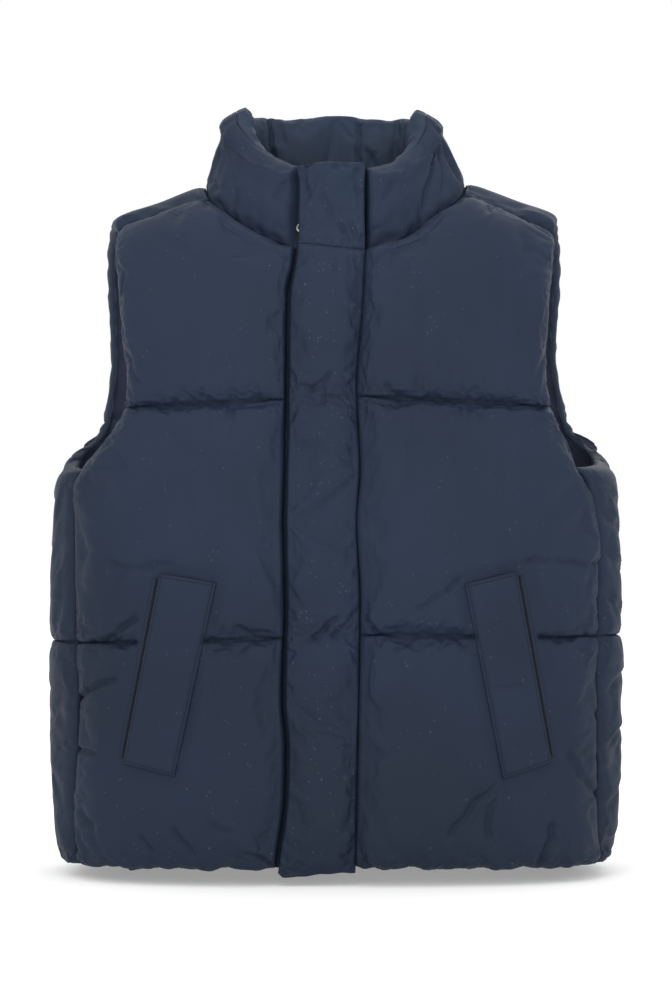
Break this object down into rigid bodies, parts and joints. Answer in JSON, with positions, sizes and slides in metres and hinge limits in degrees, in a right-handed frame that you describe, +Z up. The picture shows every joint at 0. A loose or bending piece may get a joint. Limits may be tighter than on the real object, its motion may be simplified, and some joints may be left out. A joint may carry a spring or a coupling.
{
  "type": "padded sleeveless jacket",
  "caption": "Quilted puffer vest, filled out as if worn: padded fronts and back, stand collar, storm flap over the front opening and slanted welt pockets.",
  "frame": {"origin": "middle of the neck's base, level with the tops of the shoulders, where a wearer or a form holds it", "axes": "+X towards the wearer's left, +Y towards the wearer's back, +Z up; the front faces -Y"},
  "size_m": [0.5251, 0.2417, 0.6942],
  "materials": {
    "shell": "matt woven nylon with a faint dull sheen",
    "lining": "matt woven nylon",
    "metal": "satin"
  },
  "bodies": {
    "root": {"front_right": "shell", "front_left": "shell", "back": "shell", "collar_outer": "shell", "collar_inner": "lining", "placket_lower": "shell", "placket_upper": "shell", "welt_right": "shell", "welt_left": "shell", "pocket_facing_right": "lining", "pocket_facing_left": "lining", "snap": "metal"}
  },
  "joints": []
}
